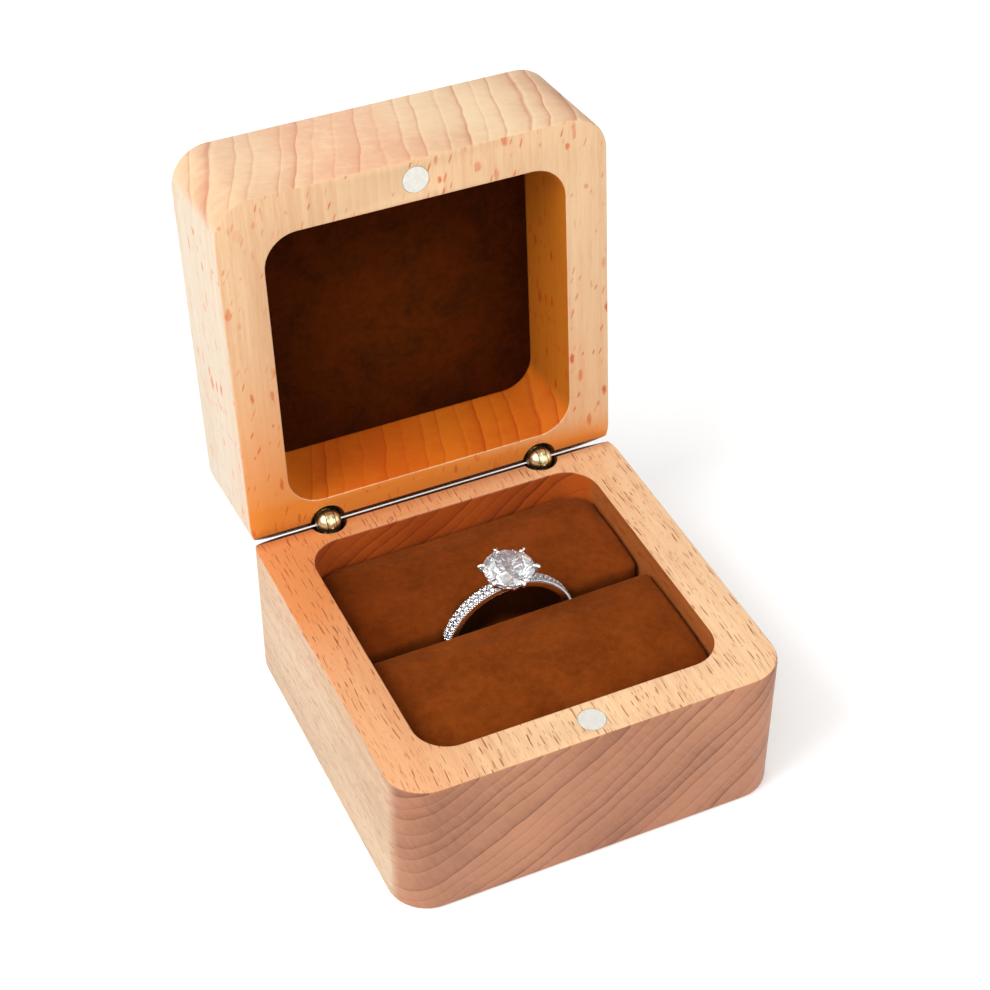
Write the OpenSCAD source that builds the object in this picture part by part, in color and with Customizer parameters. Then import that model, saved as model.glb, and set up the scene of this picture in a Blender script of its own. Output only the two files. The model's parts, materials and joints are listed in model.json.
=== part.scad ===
// Wooden ring box: a base block and a hinged lid block, milled from solid beech, held by two brass barrel
// hinges and a pair of disc magnets. A two-part velvet cushion grips an engagement ring in its slit.
// The box stands on z = 0 with its front towards -Y; the origin is the centre of the base's underside.
// The lid is drawn closed and then swung open to rest on its stop.

/* [Box] */
// Outside width, left to right
box_w = 60; // [58:0.5:66]
// Outside depth, front to back
box_d = 60; // [59:0.5:66]
// Height of the base block
base_h = 24; // [23.5:0.5:28]
// Height of the lid block
lid_h = 19; // [18:0.5:26]
// Radius of the upright outer corners
corner_r = 6; // [4:0.5:8]
// Width of the two side walls
side_wall = 6.8; // [6:0.1:8]
// Width of the front wall, where the magnets sit
front_wall = 6.8; // [6:0.1:8]
// Width of the rear wall, where the hinges sit
rear_wall = 7.6; // [7.2:0.1:8.4]
// Radius of the cavities' upright corners
cavity_r = 5.2; // [4:0.1:6]
// Wood left below the base cavity
base_floor = 3.7; // [2.5:0.1:3.7]
// Wood left above the lid cavity
lid_roof = 3.75; // [2.5:0.25:4]
// Air left between the two rims when the lid is shut
rim_gap = 0.1; // [0.06:0.02:0.2]

/* [Hinges] */
// Swing of the lid from shut to its open stop, in degrees
lid_open = 95.25; // [90:0.25:95.5]
// Distance of each hinge from the middle of the box
hinge_x = 17.7; // [12:0.1:20]
// Distance of the hinge line from the rear face
hinge_inset = 3.3; // [3.2:0.1:3.5]
// Radius of the bores for the hinge barrels
hinge_bore_r = 2.5; // [2.5:0.05:2.6]
// Radius of the ball-shaped knuckle
knuckle_r = 2; // [1.9:0.05:2.2]
// Length of each hinge barrel
barrel_len = 6.8; // [5:0.2:8]
// Thickness of the knuckle's middle finger
finger_t = 1.28; // [1.2:0.04:1.6]
// Groove on each side of the middle finger
finger_gap = 0.12; // [0.05:0.01:0.15]
// Radius of the hinge pin
pin_r = 0.6; // [0.5:0.05:0.7]
// Slope of the base's bevel behind the hinge line, in degrees
base_bevel = 39; // [38:0.5:48]
// Slope of the lid's bevel behind the hinge line, in degrees
lid_bevel = 47.5; // [46:0.5:48]
// Distance from the hinge line forward to the top of the bevel
bevel_lead = 0.65; // [0.5:0.05:0.8]

/* [Magnets] */
// Radius of the disc magnets
magnet_r = 2; // [1.5:0.1:2.5]
// Thickness of the disc magnets
magnet_t = 2; // [1:0.25:3]

/* [Cushion and lining] */
// Thickness of the card under the cushion and behind the lining
card_t = 1; // [0.8:0.1:1]
// Thickness of the lining's velvet
lining_t = 0.5; // [0.4:0.1:0.8]
// Thickness of the velvet wrapped over the cushion foam
velvet_t = 0.8; // [0.6:0.1:1]
// Height of the front cushion's crown
front_top = 20.9; // [20:0.1:21.5]
// Height of the rear cushion's crown
rear_top = 20.1; // [19.5:0.1:21]
// How far a cushion's top falls from its crown to its edges
crown_fall = 1.8; // [1:0.1:3]
// Position of the slit's middle, front to back
slit_y = 1.35; // [0:0.05:2]
// Width of the slit
slit_w = 2.3; // [2.2:0.05:3]
// Room between the cushion and the cavity walls
cushion_gap = 0.3; // [0.2:0.05:0.5]

/* [Ring] */
// Outer radius of the ring's shank
ring_r = 10.7; // [10:0.1:10.8]
// Thickness of the shank
shank_t = 1.5; // [1.3:0.1:1.7]
// Width of the shank
shank_w = 1.9; // [1.7:0.05:1.9]
// Sideways position of the ring
ring_x = 0.5; // [-4:0.5:4]
// Height of the ring's centre
ring_z = 15.7; // [15.5:0.1:16.5]
// Radius of the centre stone
stone_r = 3.85; // [3.5:0.05:4.2]
// Height of the stone's girdle above the ring's centre
girdle_rise = 13; // [12.8:0.1:13.4]
// Pave stones in one row of one shoulder
pave_count = 12; // [6:1:13]

/* [Hidden] */
$fn = 96;

cavity_w = box_w - 2 * side_wall;
cavity_front = -box_d / 2 + front_wall;
cavity_rear = box_d / 2 - rear_wall;
lid_z = base_h + rim_gap;
hinge_y = box_d / 2 - hinge_inset;
hinge_z = base_h + rim_gap / 2;
magnet_y = -box_d / 2 + front_wall / 2;
lid_cavity_h = lid_h - lid_roof;
glue_gap = 0.05;
barrel_r = hinge_bore_r - glue_gap;
// The barrels start this far from the pivot, so that the two never meet when the lid is open
barrel_start = 3;
bore_depth = barrel_start + barrel_len + 0.2;
stem_r = 1.8;
running_gap = 0.05;
cushion_z = base_floor + card_t;
front_pad_y = cavity_front + cushion_gap;
rear_pad_y = cavity_rear - cushion_gap;
slit_front = slit_y - slit_w / 2;
slit_rear = slit_y + slit_w / 2;
shank_inner_r = ring_r - shank_t;
cup_r = 1.9;
eps = 0.5;

beech = "#e2b184";
velvet_brown = "#7d3a12";
dark_velvet = "#2e1408";
brass = "#cdb178";
nickel = "#d9d8d2";
card = "#b98d62";
foam = "#d9c7a8";
white_gold = "#e4e4e6";
diamond = "#eef4fa";

// Flat outline with rounded corners, from (x0, y0) to (x1, y1)
module rounded_outline(x0, y0, x1, y1, r) {
    translate([x0 + r, y0]) square([x1 - x0 - 2 * r, y1 - y0]);
    translate([x0, y0 + r]) square([x1 - x0, y1 - y0 - 2 * r]);
    for (x = [x0 + r, x1 - r], y = [y0 + r, y1 - r]) translate([x, y]) circle(r = r);
}

module box_outline() rounded_outline(-box_w / 2, -box_d / 2, box_w / 2, box_d / 2, corner_r);

// Outline of the cavity, drawn in by a clearance
module cavity_outline(clearance = 0) {
    rounded_outline(-cavity_w / 2 + clearance, cavity_front + clearance,
                    cavity_w / 2 - clearance, cavity_rear - clearance, cavity_r - clearance);
}

// Moves a piece drawn around the left or right hinge pivot to its place; side is -1 or 1
module at_hinge(side) translate([side * hinge_x, hinge_y, hinge_z]) children();

// Swings the shut lid open about the hinge line
module opened() {
    translate([0, hinge_y, hinge_z]) rotate([-lid_open, 0, 0]) translate([0, -hinge_y, -hinge_z]) children();
}

// Turns a piece of the base into its mirror image in the plane of the hinge line
module flipped() translate([0, 0, hinge_z]) mirror([0, 0, 1]) translate([0, 0, -hinge_z]) children();

// Wedge cut off the rear top edge of the base, so that the lid can swing back
module rear_wedge(slope) {
    run = hinge_inset + bevel_lead + eps;
    translate([-box_w / 2 - eps, hinge_y - bevel_lead, base_h])
        rotate([90, 0, 90])
            linear_extrude(box_w + 2 * eps)
                polygon([[0, 0], [run, -run * tan(slope)], [run, eps], [0, eps]]);
}

// Blind bores for the two hinge barrels, open at the rim
module hinge_bores() {
    for (side = [-1, 1]) at_hinge(side) translate([0, 0, -bore_depth]) cylinder(r = hinge_bore_r, h = bore_depth + eps);
}

module magnet_disc(r) translate([0, magnet_y, base_h - magnet_t]) cylinder(r = r, h = magnet_t);

// ---- Base ----

module base_block() {
    color(beech) difference() {
        linear_extrude(base_h) box_outline();
        translate([0, 0, base_floor]) linear_extrude(base_h) cavity_outline();
        rear_wedge(base_bevel);
        hinge_bores();
        translate([0, magnet_y, base_h - magnet_t]) cylinder(r = magnet_r + glue_gap, h = magnet_t + eps);
    }
}

module base_magnet() color(nickel) magnet_disc(magnet_r);

module cushion_card() {
    color(card) translate([0, 0, base_floor]) linear_extrude(card_t) cavity_outline(cushion_gap);
}

// Side view of a cushion between y0 and y1: flat below, with a low crown that falls off towards both edges.
// skin draws the shape in at the front, rear and top.
module cushion_profile(y0, y1, top, fall, skin) {
    steps = 16;
    mid = (y0 + y1) / 2;
    half = (y1 - y0) / 2 - skin;
    crown = [for (i = [0:steps]) let(u = 1 - 2 * i / steps) [mid + half * u, top - skin - fall * pow(u, 4)]];
    polygon(concat([[mid - half, cushion_z], [mid + half, cushion_z]], crown));
}

// One cushion as a solid: its side view carried across the cavity and trimmed to the cavity's corners
module cushion_solid(y0, y1, top, fall, skin) {
    intersection() {
        translate([-cavity_w / 2, 0, 0])
            rotate([90, 0, 90])
                linear_extrude(cavity_w) cushion_profile(y0, y1, top, fall, skin);
        linear_extrude(base_h) cavity_outline(cushion_gap + skin);
    }
}

module front_cushion(skin) cushion_solid(front_pad_y - eps, slit_front, front_top, crown_fall, skin);
module rear_cushion(skin) cushion_solid(slit_rear, rear_pad_y + eps, rear_top, crown_fall, skin);

module front_cushion_foam() color(foam) front_cushion(velvet_t);
module rear_cushion_foam() color(foam) rear_cushion(velvet_t);

module front_cushion_velvet() {
    color(velvet_brown) difference() {
        front_cushion(0);
        front_cushion(velvet_t);
    }
}

module rear_cushion_velvet() {
    color(velvet_brown) difference() {
        rear_cushion(0);
        rear_cushion(velvet_t);
    }
}

// ---- Hinges ----

// Knuckle on a short stem that runs along -Z from the pivot, before its fingers are cut
module knuckle() {
    sphere(r = knuckle_r);
    translate([0, 0, -barrel_start]) cylinder(r = stem_r, h = barrel_start);
}

module barrel() translate([0, 0, -barrel_start - barrel_len]) cylinder(r = barrel_r, h = barrel_len);

// Base half of a hinge: a barrel with two outer fingers
module forked_barrel() {
    slot = finger_t + 2 * finger_gap;
    span = 2 * (knuckle_r + eps);
    difference() {
        union() {
            knuckle();
            barrel();
        }
        translate([-slot / 2, -span / 2, -barrel_start]) cube([slot, span, barrel_start + span]);
        translate([-span / 2, 0, 0]) rotate([0, 90, 0]) cylinder(r = pin_r, h = span);
    }
}

// Lid half of a hinge: a barrel with the middle finger
module tongued_barrel() {
    span = 2 * (knuckle_r + eps);
    difference() {
        union() {
            intersection() {
                knuckle();
                translate([-finger_t / 2, -span / 2, -barrel_start]) cube([finger_t, span, barrel_start + span]);
            }
            barrel();
        }
        translate([-span / 2, 0, 0]) rotate([0, 90, 0]) cylinder(r = pin_r + running_gap, h = span);
    }
}

module hinge_pin() {
    pin_half = 1.9;
    translate([-pin_half, 0, 0]) rotate([0, 90, 0]) cylinder(r = pin_r, h = 2 * pin_half);
}

module left_hinge_base_barrel() color(brass) at_hinge(-1) forked_barrel();
module right_hinge_base_barrel() color(brass) at_hinge(1) forked_barrel();
module left_hinge_pin() color(brass) at_hinge(-1) hinge_pin();
module right_hinge_pin() color(brass) at_hinge(1) hinge_pin();
module left_hinge_lid_barrel() color(brass) opened() flipped() at_hinge(-1) tongued_barrel();
module right_hinge_lid_barrel() color(brass) opened() flipped() at_hinge(1) tongued_barrel();

// ---- Lid ----

module lid_block() {
    color(beech) opened() difference() {
        translate([0, 0, lid_z]) linear_extrude(lid_h) box_outline();
        translate([0, 0, lid_z - eps]) linear_extrude(lid_cavity_h + eps) cavity_outline();
        flipped() rear_wedge(lid_bevel);
        flipped() hinge_bores();
        translate([0, magnet_y, lid_z - eps]) cylinder(r = magnet_r + glue_gap, h = magnet_t + eps);
    }
}

module lid_magnet() color(nickel) opened() flipped() magnet_disc(magnet_r);

module lid_lining_card() {
    color(card) opened() translate([0, 0, lid_z + lid_cavity_h - card_t])
        linear_extrude(card_t) cavity_outline(glue_gap);
}

module lid_lining_velvet() {
    color(dark_velvet) opened() translate([0, 0, lid_z + lid_cavity_h - card_t - lining_t])
        linear_extrude(lining_t) cavity_outline(glue_gap);
}

// ---- Ring ----

// Moves a piece drawn around the ring's centre, with the finger hole along Y, to its place in the slit
module in_slit() translate([ring_x, slit_y, ring_z]) children();

// Places children at every pave seat, with +Z pointing out of the shank
module at_pave_seats() {
    first_angle = 15.8;
    pitch = 5.1;
    row_y = 0.45;
    for (side = [-1, 1], i = [0:pave_count - 1], y = [-row_y, row_y])
        rotate([0, side * (first_angle + i * pitch), 0]) translate([0, y, ring_r]) children();
}

module ring_shank() {
    seat_r = 0.4;
    seat_depth = 0.5;
    color(white_gold) in_slit() difference() {
        rotate([90, 0, 0]) cylinder(r = ring_r, h = shank_w, center = true);
        rotate([90, 0, 0]) cylinder(r = shank_inner_r, h = shank_w + eps, center = true);
        cylinder(r = cup_r, h = ring_r + eps);
        at_pave_seats() translate([0, 0, -seat_depth]) cylinder(r = seat_r, h = seat_depth + eps, $fn = 24);
    }
}

module ring_pave_stones() {
    stone_t = 0.42;
    color(diamond) in_slit() at_pave_seats() translate([0, 0, -stone_t]) cylinder(r = 0.37, h = stone_t, $fn = 24);
}

// Round brilliant about its girdle plane, grown by a clearance: pavilion, girdle band and crown
module brilliant(grow = 0) {
    table_r = 0.56 * stone_r;
    crown_h = 0.32 * stone_r;
    pavilion_h = 0.83 * stone_r;
    girdle_h = 0.2;
    translate([0, 0, -pavilion_h - grow]) cylinder(r1 = 0.1, r2 = stone_r + grow, h = pavilion_h + grow);
    cylinder(r = stone_r + grow, h = girdle_h);
    translate([0, 0, girdle_h]) cylinder(r1 = stone_r + grow, r2 = table_r + grow, h = crown_h + grow);
}

// Six-claw basket: a cup let into the shank, claws that lean out to the girdle and stand up past it, and a rail
module ring_head() {
    claw_r = 0.38;
    claw_count = 6;
    claw_turn = 35;
    cup_top = ring_r - 0.1;
    foot_r = 1.4;
    foot_z = cup_top + 0.05;
    claw_top_r = stone_r + 0.3;
    claw_rise = 0.5;
    lean = atan2(claw_top_r - foot_r, girdle_rise - foot_z);
    lean_len = norm([claw_top_r - foot_r, girdle_rise - foot_z]);
    rail_z = girdle_rise - 1.2;
    rail_r = foot_r + (rail_z - foot_z) * tan(lean);
    color(white_gold) in_slit() difference() {
        union() {
            translate([0, 0, shank_inner_r + 0.2]) cylinder(r = cup_r - 0.02, h = cup_top - shank_inner_r - 0.2);
            for (k = [0:claw_count - 1]) rotate([0, 0, claw_turn + k * 360 / claw_count]) {
                translate([foot_r, 0, foot_z]) rotate([0, lean, 0]) cylinder(r = claw_r, h = lean_len, $fn = 32);
                translate([claw_top_r, 0, girdle_rise]) cylinder(r = claw_r, h = claw_rise, $fn = 32);
                translate([claw_top_r, 0, girdle_rise]) sphere(r = claw_r + 0.02, $fn = 32);
                translate([claw_top_r, 0, girdle_rise + claw_rise]) sphere(r = claw_r + 0.05, $fn = 32);
            }
            translate([0, 0, rail_z]) rotate_extrude() translate([rail_r - 0.3, -0.25]) square([0.6, 0.5]);
        }
        translate([0, 0, girdle_rise]) brilliant(0.03);
    }
}

module ring_centre_stone() color(diamond) in_slit() translate([0, 0, girdle_rise]) brilliant();

base_block();
base_magnet();
cushion_card();
front_cushion_foam();
front_cushion_velvet();
rear_cushion_foam();
rear_cushion_velvet();
left_hinge_base_barrel();
right_hinge_base_barrel();
left_hinge_pin();
right_hinge_pin();
lid_block();
lid_magnet();
lid_lining_card();
lid_lining_velvet();
left_hinge_lid_barrel();
right_hinge_lid_barrel();
ring_shank();
ring_head();
ring_centre_stone();
ring_pave_stones();
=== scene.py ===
"""Ring box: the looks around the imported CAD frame, with a pale floor, soft studio light and a camera."""
import json
import math

import bmesh
import bpy
from mathutils import Matrix, Vector


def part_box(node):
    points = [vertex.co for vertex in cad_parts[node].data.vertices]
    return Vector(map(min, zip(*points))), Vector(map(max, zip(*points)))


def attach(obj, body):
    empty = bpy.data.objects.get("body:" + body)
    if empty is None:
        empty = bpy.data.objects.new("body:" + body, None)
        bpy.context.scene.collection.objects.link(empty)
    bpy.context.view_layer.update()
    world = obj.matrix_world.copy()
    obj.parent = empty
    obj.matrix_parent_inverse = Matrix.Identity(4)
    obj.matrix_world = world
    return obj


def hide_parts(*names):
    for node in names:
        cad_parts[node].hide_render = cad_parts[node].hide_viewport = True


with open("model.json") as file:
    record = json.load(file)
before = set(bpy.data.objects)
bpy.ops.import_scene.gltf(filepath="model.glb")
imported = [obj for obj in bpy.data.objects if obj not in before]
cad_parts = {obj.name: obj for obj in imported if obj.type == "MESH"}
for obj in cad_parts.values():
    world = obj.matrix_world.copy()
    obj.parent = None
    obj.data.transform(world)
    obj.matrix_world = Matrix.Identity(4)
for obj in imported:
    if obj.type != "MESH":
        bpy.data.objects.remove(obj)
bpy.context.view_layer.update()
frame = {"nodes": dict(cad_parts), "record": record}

MM = 0.001

# ---------------------------------------------------------------- sizes, in metres
# They come from the frame where a box or a joint gives them, and are the part's own sizes elsewhere

BASE_LOW, BASE_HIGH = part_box("base_block")
HALF_W = (BASE_HIGH[0] - BASE_LOW[0]) / 2
HALF_D = (BASE_HIGH[1] - BASE_LOW[1]) / 2
BASE_H = BASE_HIGH[2]
CARD_LOW, CARD_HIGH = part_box("cushion_card")
CARD_GAP = 0.3 * MM
CAVITY_X = CARD_HIGH[0] + CARD_GAP
CAVITY_FRONT = CARD_LOW[1] - CARD_GAP
CAVITY_REAR = CARD_HIGH[1] + CARD_GAP
CAVITY_FLOOR = CARD_LOW[2]
CORNER_R = 6 * MM
CAVITY_R = 5.2 * MM

JOINTS = {j["name"]: j for j in frame["record"]["behaviour"]["joints"]}
HINGE = Vector(JOINTS["lid_hinge"]["pos_m"])
LID_SWING = math.radians(-JOINTS["lid_hinge"]["range_deg"][0])
RIM_GAP = 2 * (HINGE.z - BASE_H)
LID_Z = BASE_H + RIM_GAP
LID_H = 19 * MM
LID_CAVITY_H = 15.25 * MM
LINING_FACE = 1.5 * MM
CUT_PAST = 1 * MM
BARREL_LOW, BARREL_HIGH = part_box("left_hinge_base_barrel")
HINGE_X = -(BARREL_LOW[0] + BARREL_HIGH[0]) / 2
BORE_R = 2.5 * MM
BORE_DEPTH = 10 * MM
SINK = 0.3 * MM
SINK_DEPTH = 0.4 * MM
BEVEL_LEAD = 0.65 * MM
BASE_BEVEL = math.radians(39)
LID_BEVEL = math.radians(47.5)
MAGNET_LOW, MAGNET_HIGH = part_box("base_magnet")
MAGNET_R = (MAGNET_HIGH[0] - MAGNET_LOW[0]) / 2
MAGNET_Y = (MAGNET_LOW[1] + MAGNET_HIGH[1]) / 2
MAGNET_T = MAGNET_HIGH[2] - MAGNET_LOW[2]

# The lid is built shut and then swung open about the hinge line
OPENED = Matrix.Translation(HINGE) @ Matrix.Rotation(-LID_SWING, 4, "X") @ Matrix.Translation(-HINGE)
SHUT = OPENED.inverted()

SHANK_LOW, SHANK_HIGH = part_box("ring_shank")
SHANK_R = (SHANK_HIGH[0] - SHANK_LOW[0]) / 2
SHANK_W = SHANK_HIGH[1] - SHANK_LOW[1]
SHANK_T = 1.5 * MM
RING_C = Vector((
    (SHANK_LOW[0] + SHANK_HIGH[0]) / 2,
    (SHANK_LOW[1] + SHANK_HIGH[1]) / 2,
    SHANK_LOW[2] + SHANK_R,
))
STONE_LOW, STONE_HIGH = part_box("ring_centre_stone")
STONE_R = (STONE_HIGH[0] - STONE_LOW[0]) / 2
GIRDLE_Z = STONE_LOW[2] + 0.83 * STONE_R
MOUTH_X = RING_C.x + 1.3 * MM


# ---------------------------------------------------------------- mesh helpers

def new_object(name, mesh):
    obj = bpy.data.objects.new(name, mesh)
    bpy.context.scene.collection.objects.link(obj)
    return obj


def finished(bm, name):
    """Turns a bmesh into an object with outward normals."""
    bmesh.ops.recalc_face_normals(bm, faces=bm.faces)
    mesh = bpy.data.meshes.new(name)
    bm.to_mesh(mesh)
    bm.free()
    return new_object(name, mesh)


def applied(obj):
    """Replaces an object's mesh by what its modifiers make of it."""
    graph = bpy.context.evaluated_depsgraph_get()
    mesh = bpy.data.meshes.new_from_object(obj.evaluated_get(graph))
    obj.modifiers.clear()
    obj.data = mesh
    return obj


def shade_smooth(obj, angle=40):
    for polygon in obj.data.polygons:
        polygon.use_smooth = True
    obj.data.set_sharp_from_angle(angle=math.radians(angle))
    return obj


def rounded_loop(x0, y0, x1, y1, r, z, steps=10):
    """Points of a rounded rectangle at height z, counter-clockwise from the right side."""
    corners = [(x1 - r, y1 - r, 0), (x0 + r, y1 - r, 90), (x0 + r, y0 + r, 180), (x1 - r, y0 + r, 270)]
    points = []
    for cx, cy, start in corners:
        for k in range(steps + 1):
            a = math.radians(start + 90 * k / steps)
            points.append(Vector((cx + r * math.cos(a), cy + r * math.sin(a), z)))
    return points


def loft(bm, loops, closed=False):
    """Joins loops of equal length by quads. An open run gets end faces, a closed one meets itself."""
    rows = [[bm.verts.new(p) for p in loop] for loop in loops]
    count = len(rows[0])
    pairs = list(zip(rows, rows[1:]))
    if closed:
        pairs.append((rows[-1], rows[0]))
    for low, high in pairs:
        for k in range(count):
            n = (k + 1) % count
            bm.faces.new((low[k], low[n], high[n], high[k]))
    if not closed:
        bm.faces.new(rows[0][::-1])
        bm.faces.new(rows[-1])


def cylinder_between(name, r, start, end, steps=96):
    """Closed cylinder used as a boolean cutter."""
    axis = (end - start).normalized()
    side = axis.orthogonal().normalized()
    up = axis.cross(side)
    bm = bmesh.new()
    rings = []
    for centre in (start, end):
        rings.append([
            centre + r * (side * math.cos(2 * math.pi * k / steps) + up * math.sin(2 * math.pi * k / steps))
            for k in range(steps)
        ])
    loft(bm, rings)
    return finished(bm, name)


def cut(obj, cutters):
    for cutter in cutters:
        boolean = obj.modifiers.new("cut", "BOOLEAN")
        boolean.operation = "DIFFERENCE"
        boolean.solver = "EXACT"
        boolean.object = cutter
        applied(obj)
        bpy.data.objects.remove(cutter)
    return obj


def edge_arc(r, steps=4):
    """Pairs (inset, drop) along a quarter round of radius r, from the wall to the flat."""
    return [(r * (1 - math.cos(a)), r * (1 - math.sin(a)))
            for a in (math.pi / 2 * k / steps for k in range(steps + 1))]


# ---------------------------------------------------------------- wooden blocks

def wedge(name, slope):
    """The prism that bevels the rear rim edge, drawn for the base."""
    y = HINGE.y - BEVEL_LEAD
    reach = HALF_D + CUT_PAST - y
    top = BASE_H + CUT_PAST
    side = HALF_W + CUT_PAST
    profile = [(y, BASE_H), (y + reach, BASE_H - reach * math.tan(slope)), (y + reach, top), (y, top)]
    bm = bmesh.new()
    loft(bm, [[Vector((x, py, pz)) for py, pz in profile] for x in (-side, side)])
    return finished(bm, name)


def milled_block(name, height, cavity_depth, foot_round):
    """A block standing on z = 0 with its cavity open at the top, edges lightly rounded."""
    rim_round = 0.35 * MM
    lip_round = 0.2 * MM
    floor_round = 0.5 * MM
    loops = []

    def outer(inset, z):
        loops.append(rounded_loop(-HALF_W + inset, -HALF_D + inset, HALF_W - inset, HALF_D - inset,
                                  CORNER_R - inset, z))

    def inner(inset, z):
        loops.append(rounded_loop(-CAVITY_X + inset, CAVITY_FRONT + inset, CAVITY_X - inset,
                                  CAVITY_REAR - inset, CAVITY_R - inset, z))

    for inset, drop in reversed(edge_arc(foot_round)):
        outer(inset, drop)
    for inset, drop in edge_arc(rim_round):
        outer(inset, height - drop)
    for inset, drop in reversed(edge_arc(lip_round)):
        inner(-inset, height - drop)
    for inset, drop in edge_arc(floor_round):
        inner(inset, height - cavity_depth + drop)
    bm = bmesh.new()
    loft(bm, loops)
    return finished(bm, name)


def rim_bore(name, r, x, y, depth):
    """Cutter for a round hole down from the rim."""
    mouth = Vector((x, y, BASE_H + CUT_PAST))
    return cylinder_between(name, r, mouth - Vector((0, 0, depth + CUT_PAST)), mouth)


def hinge_and_magnet_cutters(name, slope):
    cutters = [wedge(name + "_wedge", slope)]
    for x in (-HINGE_X, HINGE_X):
        cutters.append(rim_bore(name + "_bore", BORE_R, x, HINGE.y, BORE_DEPTH))
        cutters.append(rim_bore(name + "_sink", BORE_R + SINK, x, HINGE.y, SINK_DEPTH))
    cutters.append(rim_bore(name + "_seat", MAGNET_R + 0.05 * MM, 0, MAGNET_Y, MAGNET_T))
    return cutters


def soften(obj, width=0.1 * MM):
    bevel = obj.modifiers.new("soft_edges", "BEVEL")
    bevel.width = width
    bevel.segments = 2
    bevel.limit_method = "ANGLE"
    bevel.angle_limit = math.radians(42)
    bevel.use_clamp_overlap = True
    applied(obj)
    return shade_smooth(obj, 30)


def base_wood():
    block = milled_block("base_wood", BASE_H, BASE_H - CAVITY_FLOOR, 0.5 * MM)
    cut(block, hinge_and_magnet_cutters("base", BASE_BEVEL))
    return soften(block)


def lid_wood():
    """Built as a base standing upside down, then mirrored in the hinge plane and swung open."""
    block = milled_block("lid_wood", LID_H, LID_CAVITY_H, 0.5 * MM)
    block.data.transform(Matrix.Translation((0, 0, BASE_H - LID_H)))
    cut(block, hinge_and_magnet_cutters("lid", LID_BEVEL))
    mirror = Matrix.Translation((0, 0, 2 * HINGE.z)) @ Matrix.Scale(-1, 4, (0, 0, 1))
    block.data.transform(OPENED @ mirror)
    block.data.flip_normals()
    return soften(block)


# ---------------------------------------------------------------- cushions

def pad_outline(x_half, y0, y1, r_front, r_rear, steps=10, spans=22):
    """Outline of a pad with its own corner radius at the front and at the rear, counter-clockwise."""
    corners = [
        (x_half - r_rear, y1 - r_rear, r_rear, 0), (-x_half + r_rear, y1 - r_rear, r_rear, 90),
        (-x_half + r_front, y0 + r_front, r_front, 180), (x_half - r_front, y0 + r_front, r_front, 270),
    ]
    points = []
    for k, (cx, cy, r, start) in enumerate(corners):
        for s in range(steps + 1):
            a = math.radians(start + 90 * s / steps)
            points.append(Vector((cx + r * math.cos(a), cy + r * math.sin(a), 0)))
        nx, ny, nr, turn = corners[(k + 1) % 4]
        a = math.radians(turn)
        ahead = Vector((nx + nr * math.cos(a), ny + nr * math.sin(a), 0))
        here = points[-1]
        points += [here.lerp(ahead, s / spans) for s in range(1, spans)]
    return points


def pad_form(name, box, radii, crown_y, falls, edge_round, lean, mouth=0.0, skin=0.0):
    """Closed pad with a crowned top. falls are the drops of the top at its front, rear and side edges.

    lean is how much higher the right end stands than the left one, mouth is how far the front edge is pushed
    back behind the ring, and skin insets the whole form."""
    x_half, y0, y1, bottom, top = box
    front_fall, rear_fall, side_fall = falls
    middle = (y0 + y1) / 2
    mouth_half = 10.6 * MM

    def height(x, y):
        reach = (crown_y - y0) if y < crown_y else (y1 - crown_y)
        fall = front_fall if y < crown_y else rear_fall
        level = top - skin + lean / 2 * x / x_half
        return level - fall * abs((y - crown_y) / reach) ** 2.4 - side_fall * abs(x / x_half) ** 4

    def pushed(x, y, z):
        """Opens the mouth: most at the slit and at the top, nothing at the far side and at the bottom."""
        across = min(abs(x - MOUTH_X) / mouth_half, 1.0)
        near = max(1 - (y - y0) / (y1 - y0), 0.0) ** 2.2
        high = max((z - bottom) / (top - bottom), 0.0) ** 0.6
        return y + mouth * math.cos(across * math.pi / 2) ** 1.5 * near * high

    def loop(inset, z=None, drop=0.0, shrink=1.0):
        inset += skin
        out = []
        r_front, r_rear = (max(r - inset, 0.3 * MM) for r in radii)
        for p in pad_outline(x_half - inset, y0 + inset, y1 - inset, r_front, r_rear):
            x = p.x * shrink
            y = middle + (p.y - middle) * shrink
            level = z if z is not None else height(x, y) - drop
            out.append(Vector((x, pushed(x, y, level), level)))
        return out

    low = bottom + skin
    wall = [loop(0, low + (height(0, y0) - edge_round - low) * t) for t in (0.2, 0.5, 0.8)]
    loops = [loop(0.4 * MM, low), loop(0, low + 0.5 * MM)] + wall
    loops += [loop(inset, drop=drop) for inset, drop in edge_arc(edge_round, 6)]
    loops += [loop(edge_round, shrink=s) for s in (0.92, 0.8, 0.65, 0.5, 0.35, 0.2, 0.05)]
    bm = bmesh.new()
    loft(bm, loops)
    return finished(bm, name)


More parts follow.
